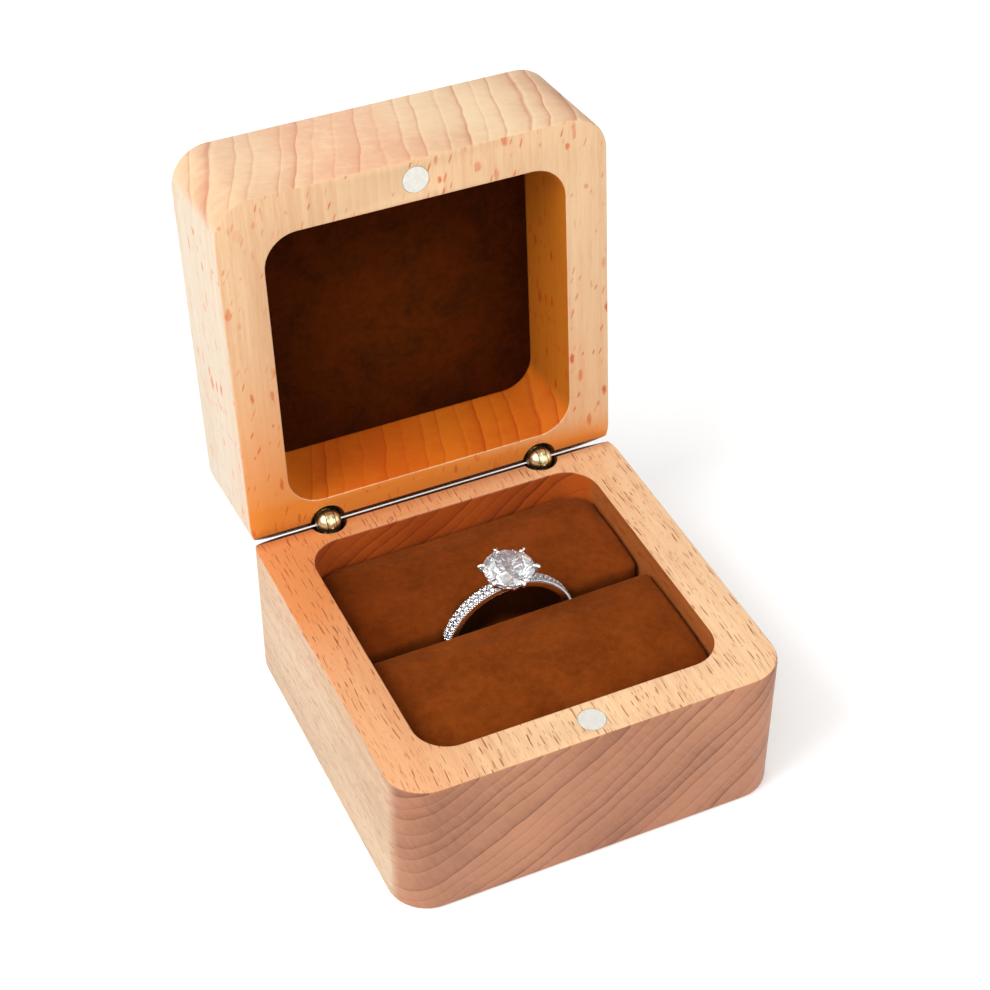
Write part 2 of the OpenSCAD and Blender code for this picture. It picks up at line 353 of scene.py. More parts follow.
def puff(obj, sideways=0.08 * MM, rise=0.25 * MM, voxel=0.5 * MM, pressure=4.0):
    """Blows a pad up as cloth at ten times its size, and caps how far each point may move."""
    zoom = 10.0
    obj.data.transform(Matrix.Scale(zoom, 4))
    remesh = obj.modifiers.new("remesh", "REMESH")
    remesh.mode = "VOXEL"
    remesh.voxel_size = voxel * zoom
    applied(obj)
    start = [v.co.copy() for v in obj.data.vertices]
    floor = min(p.z for p in start)
    held = [k for k, p in enumerate(start) if p.z < floor + 1.2 * MM * zoom]
    obj.vertex_groups.new(name="held").add(held, 1.0, "REPLACE")
    cloth = obj.modifiers.new("cloth", "CLOTH")
    cloth.settings.quality = 5
    cloth.settings.vertex_group_mass = "held"
    cloth.settings.use_pressure = True
    cloth.settings.uniform_pressure_force = pressure
    cloth.settings.effector_weights.gravity = 0
    cloth.point_cache.frame_end = 20
    for step in range(1, 21):
        bpy.context.scene.frame_set(step)
    applied(obj)
    obj.vertex_groups.clear()
    bpy.context.scene.frame_set(1)
    caps = (sideways * zoom, sideways * zoom, rise * zoom)
    for vertex, origin in zip(obj.data.vertices, start):
        move = vertex.co - origin
        vertex.co = origin + Vector([cap * math.tanh(m / cap) for m, cap in zip(move, caps)])
    obj.data.transform(Matrix.Scale(1 / zoom, 4))
    smooth = obj.modifiers.new("even", "SMOOTH")
    smooth.factor = 0.5
    smooth.iterations = 4
    subdivision = obj.modifiers.new("fine", "SUBSURF")
    subdivision.levels = 1
    subdivision.render_levels = 1
    applied(obj)
    return shade_smooth(obj, 60)


FOAM_SKIN = 0.8 * MM


def pad_and_foam(which, radii, crown_y, falls, edge_round, lean, mouth=0.0):
    """A velvet pad just inside its CAD cover, and the foam core that fills it."""
    low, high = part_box(which + "_cushion_velvet")
    box = (high[0] - 0.05 * MM, low[1] + 0.15 * MM, high[1] - 0.15 * MM,
           low[2] + 0.1 * MM, high[2] - 0.1 * MM)
    pad = puff(pad_form(which + "_pad", box, radii, crown_y, falls, edge_round, lean, mouth))
    core = pad_form(which + "_core", box, radii, crown_y, falls, edge_round, lean, mouth, FOAM_SKIN)
    return pad, shade_smooth(core, 40)


def lid_lining():
    """Velvet drawn over a card at the bottom of the lid's cavity: a thin panel, faintly crowned."""
    gap = 0.12 * MM
    face = LID_Z + LID_CAVITY_H - LINING_FACE
    back = face + 0.5 * MM
    edge = 0.35 * MM

    def loop(inset, z):
        return rounded_loop(-CAVITY_X + gap + inset, CAVITY_FRONT + gap + inset,
                            CAVITY_X - gap - inset, CAVITY_REAR - gap - inset, CAVITY_R - gap - inset, z, 12)

    loops = [loop(0, back)]
    loops += [loop(inset, face + drop) for inset, drop in edge_arc(edge, 5)]
    for inset in (2, 5, 9, 14, 18):
        rise = 0.12 * MM * (1 - math.exp(-inset / 5))
        cx = CAVITY_X - inset * MM
        cy0 = CAVITY_FRONT + inset * MM
        cy1 = CAVITY_REAR - inset * MM
        loops.append(rounded_loop(-cx, cy0, cx, cy1, max(CAVITY_R - inset * MM, 2 * MM), face - rise, 12))
    bm = bmesh.new()
    loft(bm, loops)
    panel = finished(bm, "lid_lining")
    panel.data.transform(OPENED)
    return shade_smooth(panel, 60)


# ---------------------------------------------------------------- ring

def turned(angle, point):
    """Turns a point about the ring's own axis, which runs along Y through the ring's centre."""
    return Matrix.Rotation(angle, 4, "Y") @ Vector(point)


def ball(bm, centre, r, u=12, v=8):
    bmesh.ops.create_uvsphere(bm, u_segments=u, v_segments=v, radius=r, matrix=Matrix.Translation(centre))


def tube(bm, points, radii, sides=12, closed=False):
    """Round tube along points, whose radius may change."""
    count = len(points)
    turns = [2 * math.pi * s / sides for s in range(sides)]
    loops = []
    normal = None
    for k, p in enumerate(points):
        if closed:
            ahead = points[(k + 1) % count] - points[k - 1]
        else:
            ahead = points[min(k + 1, count - 1)] - points[max(k - 1, 0)]
        ahead.normalize()
        if normal is None:
            normal = ahead.orthogonal().normalized()
        normal = (normal - ahead * normal.dot(ahead)).normalized()
        other = ahead.cross(normal)
        loops.append([p + radii[k] * (normal * math.cos(a) + other * math.sin(a)) for a in turns])
    loft(bm, loops, closed)


PAVE_FIRST = math.radians(15.8)
PAVE_PITCH = math.radians(5.1)
PAVE_COUNT = 12
PAVE_ROW = 0.42 * MM


def pave_places():
    for side in (-1, 1):
        for k in range(PAVE_COUNT):
            for row in (-PAVE_ROW, PAVE_ROW):
                yield side * (PAVE_FIRST + k * PAVE_PITCH), row


def ring_shank():
    """Band with a rounded inside and a channel on top, and the small beads that hold its stones."""
    half = SHANK_W / 2
    section = [
        (-half, -0.58 * MM), (-half + 0.05 * MM, -0.48 * MM), (-half + 0.16 * MM, -0.44 * MM),
        (half - 0.16 * MM, -0.44 * MM), (half - 0.05 * MM, -0.48 * MM), (half, -0.58 * MM),
        (half, -SHANK_T + 0.35 * MM), (half - 0.12 * MM, -SHANK_T + 0.12 * MM),
        (half - 0.45 * MM, -SHANK_T), (-half + 0.45 * MM, -SHANK_T),
        (-half + 0.12 * MM, -SHANK_T + 0.12 * MM), (-half, -SHANK_T + 0.35 * MM),
    ]
    bm = bmesh.new()
    steps = 180
    loft(bm, [[RING_C + turned(2 * math.pi * k / steps, (0, across, SHANK_R + up)) for across, up in section]
              for k in range(steps)], closed=True)
    band = shade_smooth(finished(bm, "ring_band"), 35)

    bm = bmesh.new()
    for side in (-1, 1):
        for k in range(PAVE_COUNT + 1):
            a = side * (PAVE_FIRST + (k - 0.5) * PAVE_PITCH)
            ball(bm, RING_C + turned(a, (0, 0, SHANK_R - 0.1 * MM)), 0.17 * MM, 10, 6)
        for k in range(2 * PAVE_COUNT + 1):
            a = side * (PAVE_FIRST + (k / 2 - 0.5) * PAVE_PITCH)
            for row in (-0.8 * MM, 0.8 * MM):
                ball(bm, RING_C + turned(a, (0, row, SHANK_R - 0.28 * MM)), 0.2 * MM, 12, 8)
    beads = shade_smooth(finished(bm, "ring_beads"), 80)
    return band, beads


def brilliant(bm, centre, r, axis_turn, spin=0.0, crown=0.33, fold=8):
    """Round brilliant cut: table, star, kite and girdle facets above, mains and lower halves below."""
    table_r, table_z = 0.57 * r, crown * r
    girdle = 0.03 * r
    depth = 0.86 * r
    mid_r = 0.80 * r
    low_r = 0.30 * r
    cos_half = math.cos(math.pi / fold)

    def at(radius, turn, z):
        a = 2 * math.pi * turn / fold + spin
        return bm.verts.new(centre + axis_turn @ Vector((radius * math.cos(a), radius * math.sin(a), z)))

    mid_rho = mid_r * cos_half
    mid_z = table_z + (mid_rho - table_r) / (r - table_r) * (girdle - table_z)
    low_z = -depth + low_r * cos_half / r * (depth - girdle)
    table = [at(table_r, k, table_z) for k in range(fold)]
    mid = [at(mid_r, k + 0.5, mid_z) for k in range(fold)]
    upper = [at(r, k / 2, girdle) for k in range(2 * fold)]
    lower = [at(r, k / 2, -girdle) for k in range(2 * fold)]
    deep = [at(low_r, k + 0.5, low_z) for k in range(fold)]
    culet = at(0, 0, -depth)
    bm.faces.new(table)
    for k in range(fold):
        n = (k + 1) % fold
        g0, g1, g2 = 2 * k, 2 * k + 1, (2 * k + 2) % (2 * fold)
        bm.faces.new((table[k], mid[k], table[n]))
        bm.faces.new((table[n], mid[k], upper[g2], mid[n]))
        bm.faces.new((mid[k], upper[g0], upper[g1]))
        bm.faces.new((mid[k], upper[g1], upper[g2]))
        bm.faces.new((upper[g0], lower[g0], lower[g1], upper[g1]))
        bm.faces.new((upper[g1], lower[g1], lower[g2], upper[g2]))
        bm.faces.new((lower[g0], deep[k], lower[g1]))
        bm.faces.new((lower[g1], deep[k], lower[g2]))
        bm.faces.new((lower[g2], deep[k], culet, deep[n]))


def pave_stones():
    bm = bmesh.new()
    for angle, row in pave_places():
        turn = Matrix.Rotation(angle, 4, "Y")
        brilliant(bm, RING_C + turn @ Vector((0, row, SHANK_R - 0.12 * MM)), 0.41 * MM, turn)
    return finished(bm, "ring_pave")


def centre_stone():
    spin = math.radians(9)
    bm = bmesh.new()
    middle = Vector((RING_C.x, RING_C.y, GIRDLE_Z))
    brilliant(bm, middle, STONE_R - 0.02 * MM, Matrix.Identity(4), spin, crown=0.34)
    return finished(bm, "centre_stone")


CLAWS = 6
CLAW_TURN = math.radians(35)


def ring_head():
    """Basket: a cup let into the shank, tapered claws that fold over the girdle, and a scalloped gallery."""
    axis = Vector((RING_C.x, RING_C.y, 0))
    cup_top = RING_C.z + SHANK_R - 0.05 * MM
    cup_low = RING_C.z + SHANK_R - 0.75 * MM
    girdle = GIRDLE_Z

    def around(r, a, z):
        return axis + Vector((r * math.cos(a), r * math.sin(a), z))

    bm = bmesh.new()
    steps = 48
    wall = [(0.7, cup_low), (1.1, cup_low), (1.3, cup_low + 0.15 * MM), (1.8, cup_top - 0.1 * MM),
            (1.75, cup_top), (1.45, cup_top), (1.1, cup_top - 0.25 * MM)]
    turns = [2 * math.pi * k / steps for k in range(steps)]
    loft(bm, [[around(r * MM, a, z) for r, z in wall] for a in turns], closed=True)

    for c in range(CLAWS):
        a = CLAW_TURN + 2 * math.pi * c / CLAWS
        route = [(1.45, cup_top - 0.3 * MM, 0.42), (2.3, girdle - 1.7 * MM, 0.36),
                 (3.4, girdle - 0.85 * MM, 0.36), (4.15, girdle - 0.2 * MM, 0.35),
                 (4.33, girdle + 0.05 * MM, 0.36), (4.18, girdle + 0.3 * MM, 0.37),
                 (3.85, girdle + 0.46 * MM, 0.34), (3.5, girdle + 0.48 * MM, 0.22)]
        fine = []
        for (r0, z0, w0), (r1, z1, w1) in zip(route, route[1:]):
            for s in range(4):
                t = s / 4
                fine.append((r0 + (r1 - r0) * t, z0 + (z1 - z0) * t, w0 + (w1 - w0) * t))
        fine.append(route[-1])
        for _ in range(3):
            fine = [fine[0]] + [
                tuple((p + 2 * q + r) / 4 for p, q, r in zip(fine[k - 1], fine[k], fine[k + 1]))
                for k in range(1, len(fine) - 1)
            ] + [fine[-1]]
        tube(bm, [around(r * MM, a, z) for r, z, w in fine], [w * MM for r, z, w in fine], 14)

    def gallery(r_high, r_low, z_high, z_low, thick, scallops=2 * CLAWS):
        points = []
        for k in range(144):
            a = 2 * math.pi * k / 144
            lift = abs(math.cos(scallops / 2 * (a - CLAW_TURN))) ** 1.4
            r = r_low + (r_high - r_low) * lift
            points.append(around(r, a, z_low + (z_high - z_low) * lift))
        tube(bm, points, [thick] * len(points), 10, closed=True)

    gallery(3.3 * MM, 2.65 * MM, girdle - 0.9 * MM, girdle - 1.85 * MM, 0.24 * MM)
    gallery(1.95 * MM, 1.95 * MM, girdle - 2.05 * MM, girdle - 2.05 * MM, 0.22 * MM)
    return shade_smooth(finished(bm, "ring_basket"), 50)


# ---------------------------------------------------------------- materials

class Graph:
    """A material's node tree, built by short calls that return sockets."""

    def __init__(self, name):
        self.material = bpy.data.materials.new(name)
        self.material.use_nodes = True
        self.tree = self.material.node_tree
        self.tree.nodes.clear()
        self.shader = self.tree.nodes.new("ShaderNodeBsdfPrincipled")
        out = self.tree.nodes.new("ShaderNodeOutputMaterial")
        self.tree.links.new(self.shader.outputs[0], out.inputs["Surface"])

    def put(self, socket, value):
        if isinstance(value, bpy.types.NodeSocket):
            self.tree.links.new(value, socket)
        else:
            socket.default_value = value

    def node(self, kind, inputs=None, **settings):
        node = self.tree.nodes.new("ShaderNode" + kind)
        for key, value in settings.items():
            setattr(node, key, value)
        for key, value in (inputs or {}).items():
            self.put(node.inputs[key], value)
        return node

    def math(self, operation, a, b=0.0, c=0.0, clamp=False):
        return self.node("Math", {0: a, 1: b, 2: c}, operation=operation, use_clamp=clamp).outputs[0]

    def add(self, first, *others, clamp=False):
        for other in others:
            first = self.math("ADD", first, other, clamp=clamp)
        return first

    def times(self, first, *others):
        for other in others:
            first = self.math("MULTIPLY", first, other)
        return first

    def minus(self, a, b):
        return self.math("SUBTRACT", a, b)

    def over(self, a, b):
        return self.math("DIVIDE", a, b)

    def scaled(self, value, factor, offset):
        return self.math("MULTIPLY_ADD", value, factor, offset)

    def size(self, value):
        return self.math("ABSOLUTE", value)

    def length(self, *parts):
        return self.math("SQRT", self.add(*[self.times(part, part) for part in parts]))

    def between(self, value, low, high):
        """0 below low, 1 above high, smooth between; low may be above high."""
        inputs = {"Value": value, "From Min": low, "From Max": high}
        return self.node("MapRange", inputs, interpolation_type="SMOOTHSTEP").outputs["Result"]

    def mix(self, factor, a, b, blend="MIX"):
        node = self.node("Mix", data_type="RGBA", blend_type=blend)
        self.put(node.inputs[0], factor)
        self.put(node.inputs[6], a)
        self.put(node.inputs[7], b)
        return node.outputs[2]

    def tinted(self, colour, amount, tint):
        """The colour multiplied by the tint, as far as amount says."""
        return self.mix(amount, colour, self.mix(1.0, colour, tint, "MULTIPLY"))

    def noise(self, vector, scale, detail=3.0, roughness=0.5, distortion=0.0):
        return self.node("TexNoise", {"Vector": vector, "Scale": scale, "Detail": detail,
                                      "Roughness": roughness, "Distortion": distortion}).outputs["Fac"]

    def ramp(self, value, stops):
        node = self.node("ValToRGB", {"Fac": value})
        elements = node.color_ramp.elements
        while len(elements) < len(stops):
            elements.new(0.5)
        for element, (position, colour) in zip(elements, stops):
            element.position = position
            element.color = (*colour, 1.0)
        return node.outputs["Color"]

    def combine(self, x, y, z):
        return self.node("CombineXYZ", {0: x, 1: y, 2: z}).outputs[0]

    def separate(self, vector):
        return self.node("SeparateXYZ", {0: vector}).outputs

    def bump(self, height, distance, strength):
        inputs = {"Height": height, "Distance": distance, "Strength": strength}
        return self.node("Bump", inputs).outputs["Normal"]

    def millimetres(self, matrix=None):
        """Object position in millimetres, brought back by matrix first where the piece was turned."""
        position = self.node("TexCoord").outputs["Object"]
        if matrix is not None:
            position = self.node("Mapping", {"Vector": position, "Location": matrix.to_translation(),
                                             "Rotation": matrix.to_euler()}).outputs[0]
        return self.node("VectorMath", {0: position, 3: 1000.0}, operation="SCALE").outputs[0]

    def normal(self, matrix=None):
        """Which way the surface faces, brought back by matrix too."""
        normal = self.node("TexCoord").outputs["Normal"]
        if matrix is not None:
            inputs = {"Vector": normal, "Rotation": matrix.to_euler()}
            normal = self.node("Mapping", inputs, vector_type="VECTOR").outputs[0]
        return normal

    def set(self, **values):
        names = {"color": "Base Color", "roughness": "Roughness", "metallic": "Metallic", "normal": "Normal",
                 "ior": "IOR", "transmission": "Transmission Weight", "sheen": "Sheen Weight",
                 "sheen_roughness": "Sheen Roughness", "sheen_tint": "Sheen Tint",
                 "specular": "Specular IOR Level"}
        for key, value in values.items():
            self.put(self.shader.inputs[names[key]], value)
        return self.material


def srgb(r, g, b):
    """Linear colour from 8-bit sRGB."""
    parts = (r / 255, g / 255, b / 255)
    return tuple(c / 12.92 if c <= 0.04045 else ((c + 0.055) / 1.055) ** 2.4 for c in parts)


def rgba(colour):
    return (*colour, 1.0)


# How dark a growth ring is, from its inner edge to its outer one
LATE_WOOD = [(0.0, (0.55,) * 3), (0.07, (0.05,) * 3), (0.2, (0.3,) * 3), (0.6, (0.45,) * 3),
             (0.84, (0.6,) * 3), (0.95, (1.0,) * 3)]


def dashes(g, u, v, ragged, cell, half, strength, share, slant=0.0):
    """Mask of short dashes along v, sizes in mm: at most one in each cell, and in a share of the cells.

    cell and half are (across, along) sizes of a cell and of half a dash."""
    u = g.scaled(v, slant, u)
    place = g.combine(g.over(u, cell[0]), g.over(v, cell[1]), 0.0)
    cells = g.node("TexVoronoi", {"Vector": place, "Scale": 1.0, "Randomness": 0.9}, voronoi_dimensions="2D")
    more_wide, more_long, luck = g.separate(cells.outputs["Color"])
    middle = g.separate(cells.outputs["Position"])
    reach = g.times(g.minus(ragged, 0.5), 1.6)
    for k, (along, more) in enumerate(((u, more_wide), (v, more_long))):
        off = g.minus(along, g.times(middle[k], cell[k]))
        off = g.over(off, g.scaled(more, 1.1 * half[k], 0.45 * half[k]))
        reach = g.scaled(off, off, reach)
    shown = g.times(g.between(luck, 1.0 - share, 1.15 - share), g.scaled(more_wide, 0.5, 0.5))
    return g.times(g.between(reach, 1.2, 0.2), shown, strength)


def wood_masks(g, x, y, z, nz):
    """How far a point is in the cavity (0 to 1), below the rim (mm) and close to the rim (0 to 1)."""
    reach_x = CAVITY_X / MM
    reach_y = (CAVITY_REAR - CAVITY_FRONT) / 2 / MM
    middle_y = (CAVITY_FRONT + CAVITY_REAR) / 2 / MM
    in_x = g.between(g.size(x), reach_x + 0.25, reach_x + 0.05)
    in_y = g.between(g.size(g.minus(y, middle_y)), reach_y + 0.25, reach_y + 0.05)
    below = g.size(g.minus(z, HINGE.z / MM))
    return g.times(in_x, in_y, g.between(nz, 0.7, 0.4)), below, g.between(below, 8.0, 2.0)


def growth_rings(g, x, y, z, look):
    """A point's distance and angle from the pith, and how much late wood it has, from 0 to 1."""
    wobble = g.times(g.minus(g.noise(g.combine(x, g.times(y, 0.12), z), 0.06, 3.0), 0.5), 4.0)
    dx = g.minus(x, look["pith"][0])
    dz = g.minus(z, look["pith"][1])
    distance = g.add(g.length(dx, dz), wobble)
    turn = g.times(g.math("ARCTAN2", dz, dx), 90.0)
    pace = g.times(g.noise(g.combine(distance, 0.0, 0.0), 0.16, 2.0), 5.0)
    count = g.over(g.add(distance, pace), look["ring_gap"])
    late = g.ramp(g.math("FRACT", count), LATE_WOOD)
    each = g.node("TexWhiteNoise", {"W": g.math("FLOOR", count)}, noise_dimensions="1D").outputs["Value"]
    late = g.times(late, g.scaled(each, 0.6, 0.4))
    fade = g.scaled(g.between(x, -30.0, -10.0), look["calm"], 1.0 - look["calm"])
    return distance, turn, g.scaled(g.minus(late, 0.4), fade, 0.4)


def ray_flecks(g, x, y, z, nx, look):
    """Mask of the short dashes along the grain, which come in patches."""
    ragged = g.noise(g.combine(x, g.times(y, 0.4), z), 3.0, 1.0)
    upright = g.between(nx, 0.6, 0.8)
    across = g.add(g.times(x, g.minus(1.0, upright)), g.times(z, upright))
    sway = g.noise(g.combine(g.times(x, 0.3), y, g.times(z, 0.3)), 0.09, 1.0)
    across = g.scaled(sway, 1.6, across)
    ray = 0.0
    for kind in look["rays"]:
        ray = g.math("MAXIMUM", dashes(g, across, y, ragged, **kind), ray)
    patches = g.between(g.noise(g.combine(x, g.times(y, 0.5), 9.0), 0.13, 2.0), 0.36, 0.56)
    return g.times(ray, g.scaled(patches, look["patchy"], 1.0 - look["patchy"]))


def side_grain(g, x, y, z, nx, warm_zone, ray, look, tone):
    """Colour of the faces along the grain, and their fine fibres: fibres, broad changes of tone and rays."""
    fibre = g.noise(g.combine(x, g.times(y, 0.03), z), 1.0, 4.0, 0.6)
    fine = g.noise(g.combine(x, g.times(y, 0.06), z), 5.0, 2.0, 0.65)
    broad = g.noise(g.combine(x, g.times(y, 0.4), z), 0.05, 2.0)
    mixed = g.add(g.times(fibre, 0.6), g.times(broad, 0.5), g.times(fine, 0.35))
    colour = g.mix(g.between(mixed, 0.5, 1.0), tone["light"], tone["dark"])
    warmth = g.times(g.between(y, -12.0, 30.0), g.between(x, 60.0, -34.0))
    warm_side = g.times(g.between(x, -12.0, -28.0), look["warm_side"])
    warm_hinge = g.times(g.between(y, 20.0, 27.0), look["warm_hinge"])
    warmth = g.add(warmth, warm_side, warm_hinge, clamp=True)
    colour = g.mix(g.times(warmth, warm_zone), colour, tone["warm"])
    # Painted light: the faces towards the sides get a paler, greyer tone, as a strong light from the side
    # gives them
    lit_side_tone = g.mix(g.between(mixed, 0.5, 0.95), tone["painted_lit_flank"], tone["painted_lit_flank_dark"])
    colour = g.mix(g.times(g.between(nx, 0.4, 0.85), 0.85), colour, lit_side_tone)
    return g.mix(ray, colour, tone["ray"]), fine


def end_grain(g, place, x, y, z, rings, look, tone):
    """Colour of the faces across the grain, and their pores: bands between rings, and streaks across them."""
    distance, turn, late = rings
    streak = g.noise(g.combine(turn, g.times(distance, 0.25), 0.0), 1.6, 2.0, 0.7)
    pores = g.noise(g.combine(x, g.times(y, 0.1), z), 6.0, 2.0, 0.7)
    cloud = g.noise(place, 0.06, 2.0)
    depth = g.times(late, look["ring_strength"])
    for part, share in ((streak, 0.4), (pores, 0.25), (cloud, 0.9)):
        depth = g.add(depth, g.times(g.minus(part, 0.5), share))
    colour = g.mix(g.between(depth, -0.15, 1.05), tone["end_light"], tone["end_dark"])
    zone_x, zone_half, zone_amount = look["blush"]
    zone = g.between(g.size(g.minus(x, zone_x)), zone_half, 0.35 * zone_half)
    zone = g.times(zone, g.between(streak, 0.0, 0.6), zone_amount)
    return g.mix(zone, colour, tone["blush"]), pores


def hinge_shade(g, colour, x, y, ny, nz, below, look, tone):
    """Paints shade into the hinge bores, onto the bevels behind them and onto the rim's edge next to those.
    """
    hinge_y = HINGE.y / MM
    wall = (BORE_R + SINK) / MM
    depth = BORE_DEPTH / MM
    off = g.length(g.minus(g.size(x), HINGE_X / MM), g.minus(y, hinge_y))
    bored = g.times(g.between(off, wall + 0.08, wall - 0.02), g.between(below, depth + 1.0, depth))
    colour = g.tinted(colour, bored, tone["bore"])
    bevelled = g.times(g.between(ny, 0.45, 0.58), g.between(nz, 0.3, 0.45))
    bevelled = g.times(bevelled, g.between(y, hinge_y - 1.2, hinge_y - 0.6))
    edge = g.times(g.between(y, hinge_y - 2.4, hinge_y - 0.6), g.between(nz, 0.9, 0.97))
    shaded = g.add(bevelled, g.times(edge, look["edge_shade"]), clamp=True)
    return g.tinted(colour, shaded, tone["bevel"])


def beech(name, matrix, look):
    """Beech with its grain along Y, with painted shade, deep and warm, inside the cavity, painted shade at
    the hinge and painted light on the faces towards the sides.
    """
    g = Graph(name)
    place = g.millimetres(matrix)
    x, y, z = g.separate(place)
    nx, ny, nz = (g.size(part) for part in g.separate(g.normal(matrix)))
    tone = {key: rgba(value) for key, value in look["tones"].items()}
    within, below, at_rim = wood_masks(g, x, y, z, nz)
    rings = growth_rings(g, x, y, z, look)
    ray = ray_flecks(g, x, y, z, nx, look)
    side, fine = side_grain(g, x, y, z, nx, g.math("MAXIMUM", at_rim, within), ray, look, tone)
    end, pores = end_grain(g, place, x, y, z, rings, look, tone)
    is_end = g.between(ny, 0.12, 0.52)
    colour = g.mix(is_end, side, end)
    # Painted shade: inside the cavity the colour is multiplied by a deep orange tone, standing in for the
    # walls' shade
    colour = g.tinted(colour, within, g.mix(is_end, tone["cavity_shade_side"], tone["cavity_shade_end"]))
    colour = hinge_shade(g, colour, x, y, ny, nz, below, look, tone)
    height = g.scaled(fine, 0.5, g.times(pores, 0.35))
    height = g.minus(height, g.times(ray, g.minus(1.0, is_end), 1.2))
    height = g.minus(height, g.times(rings[2], 0.35))
    rough = g.scaled(fine, 0.14, 0.44)
    return g.set(color=colour, roughness=rough, normal=g.bump(height, 0.03 * MM, 0.6), specular=0.35)


def velvet(name, light, dark, matrix, sheen, pile=0.05, spots=()):
    """Short-pile velvet: brushed patches, fine pile and a soft sheen at grazing angles.

    spots are (middle, radii, start, end, shade): ellipsoids within which the colour is multiplied by shade,
    which darkens or lightens it."""
    g = Graph(name)
    place = g.millimetres(matrix)
    brushed = g.noise(place, 0.16, 3.0, 0.55, 0.6)
    mottle = g.noise(place, 0.9, 4.0, 0.6)
    nap = g.noise(place, 7.0, 3.0, 0.7)
    tone = g.add(g.times(brushed, 0.45), g.times(mottle, 0.35), g.times(nap, 0.5))
    colour = g.mix(g.between(tone, 0.4, 0.9), rgba(dark), rgba(light))
    for middle, radii, start, end, shade in spots:
        parts = [g.over(g.minus(p, c), r) for p, c, r in zip(g.separate(place), middle, radii)]
        colour = g.tinted(colour, g.between(g.length(*parts), end, start), rgba(shade))
    height = g.add(nap, g.times(mottle, 0.7))
    rough = g.scaled(nap, 0.15, 0.78)
    return g.set(color=colour, roughness=rough, normal=g.bump(height, pile * MM, 0.7), specular=0.0,
                 sheen=sheen, sheen_roughness=0.45, sheen_tint=rgba((1.0, 0.5, 0.2)))


def polished_brass(name):
    g = Graph(name)
    place = g.millimetres()
    stain = g.noise(place, 1.1, 4.0, 0.6)
    turn = g.noise(place, 14.0, 2.0, 0.6)
    colour = g.mix(g.between(stain, 0.35, 0.75), rgba(srgb(236, 222, 176)), rgba(srgb(200, 176, 122)))
    rough = g.scaled(stain, 0.16, 0.2)
    return g.set(color=colour, metallic=1.0, roughness=rough, normal=g.bump(turn, 0.004 * MM, 0.5))


def satin_nickel(name, matrix=None):
    """Plated disc: fine turning marks round its middle and a slightly cloudy finish."""
    g = Graph(name)
    place = g.millimetres(matrix)
    x, y, z = g.separate(place)
    radius = g.length(x, g.minus(y, MAGNET_Y / MM))
    marks = g.noise(g.combine(radius, 0.0, 0.0), 9.0, 3.0, 0.7)
    cloud = g.noise(place, 1.2, 3.0, 0.5)
    colour = g.mix(g.between(cloud, 0.3, 0.8), rgba(srgb(212, 210, 202)), rgba(srgb(202, 199, 190)))
    rough = g.scaled(marks, 0.15, 0.45)
    return g.set(color=colour, metallic=0.3, roughness=rough, normal=g.bump(marks, 0.004 * MM, 0.5))


def white_gold(name):
    g = Graph(name)
    place = g.millimetres()
    scuff = g.noise(place, 3.0, 4.0, 0.65)
    colour = g.mix(g.between(scuff, 0.3, 0.7), rgba(srgb(246, 246, 246)), rgba(srgb(228, 229, 232)))
    rough = g.scaled(scuff, 0.1, 0.05)
    return g.set(color=colour, metallic=1.0, roughness=rough, normal=g.bump(scuff, 0.003 * MM, 0.4))


def diamond(name, low, high, transmission):
    g = Graph(name)
    place = g.millimetres()
    haze = g.noise(place, 2.0, 2.0)
    colour = g.mix(haze, rgba(low), rgba(high))
    return g.set(color=colour, transmission=transmission, ior=2.4, roughness=g.times(haze, 0.01))


def greyboard(name):
    g = Graph(name)
    place = g.millimetres()
    fibre = g.noise(place, 2.5, 5.0, 0.7, 1.2)
    colour = g.mix(g.between(fibre, 0.35, 0.7), rgba(srgb(176, 150, 118)), rgba(srgb(140, 114, 86)))
    rough = g.scaled(fibre, 0.1, 0.8)
    return g.set(color=colour, roughness=rough, normal=g.bump(fibre, 0.05 * MM, 0.6))


def open_foam(name):
    g = Graph(name)
    place = g.millimetres()
    cells = g.node("TexVoronoi", {"Vector": place, "Scale": 1.8}).outputs["Distance"]
    colour = g.mix(g.between(cells, 0.1, 0.6), rgba(srgb(176, 158, 124)), rgba(srgb(226, 212, 182)))
    rough = g.scaled(cells, 0.1, 0.85)
    return g.set(color=colour, roughness=rough, normal=g.bump(cells, 0.2 * MM, 0.8))


def floor_paint(name):
    """Pale floor of a light table: it glows a little."""
    g = Graph(name)
    place = g.millimetres()
    grain = g.noise(place, 0.3, 3.0)
    colour = g.mix(grain, rgba((0.89, 0.89, 0.89)), rgba((0.91, 0.91, 0.91)))
    g.put(g.shader.inputs["Emission Color"], colour)
    g.put(g.shader.inputs["Emission Strength"], 0.07)
    return g.set(color=colour, roughness=0.9, specular=0.1)


# ---------------------------------------------------------------- assembly

def place(obj, body, material, slot, nodes=()):
    obj.data.materials.clear()
    obj.data.materials.append(material)
    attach(obj, body)
    if nodes:
        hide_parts(*nodes)
    return obj


def finish_cad(names, material, bevel=0.0):
    """Gives CAD nodes their material, and rounds their sharp edges a little."""
    for name in names:
        obj = frame["nodes"][name]
        obj.data.materials.clear()
        obj.data.materials.append(material)
        if bevel:
            edge = obj.modifiers.new("edge", "BEVEL")
            edge.width = bevel
            edge.segments = 3
            edge.limit_method = "ANGLE"
            edge.angle_limit = math.radians(50)
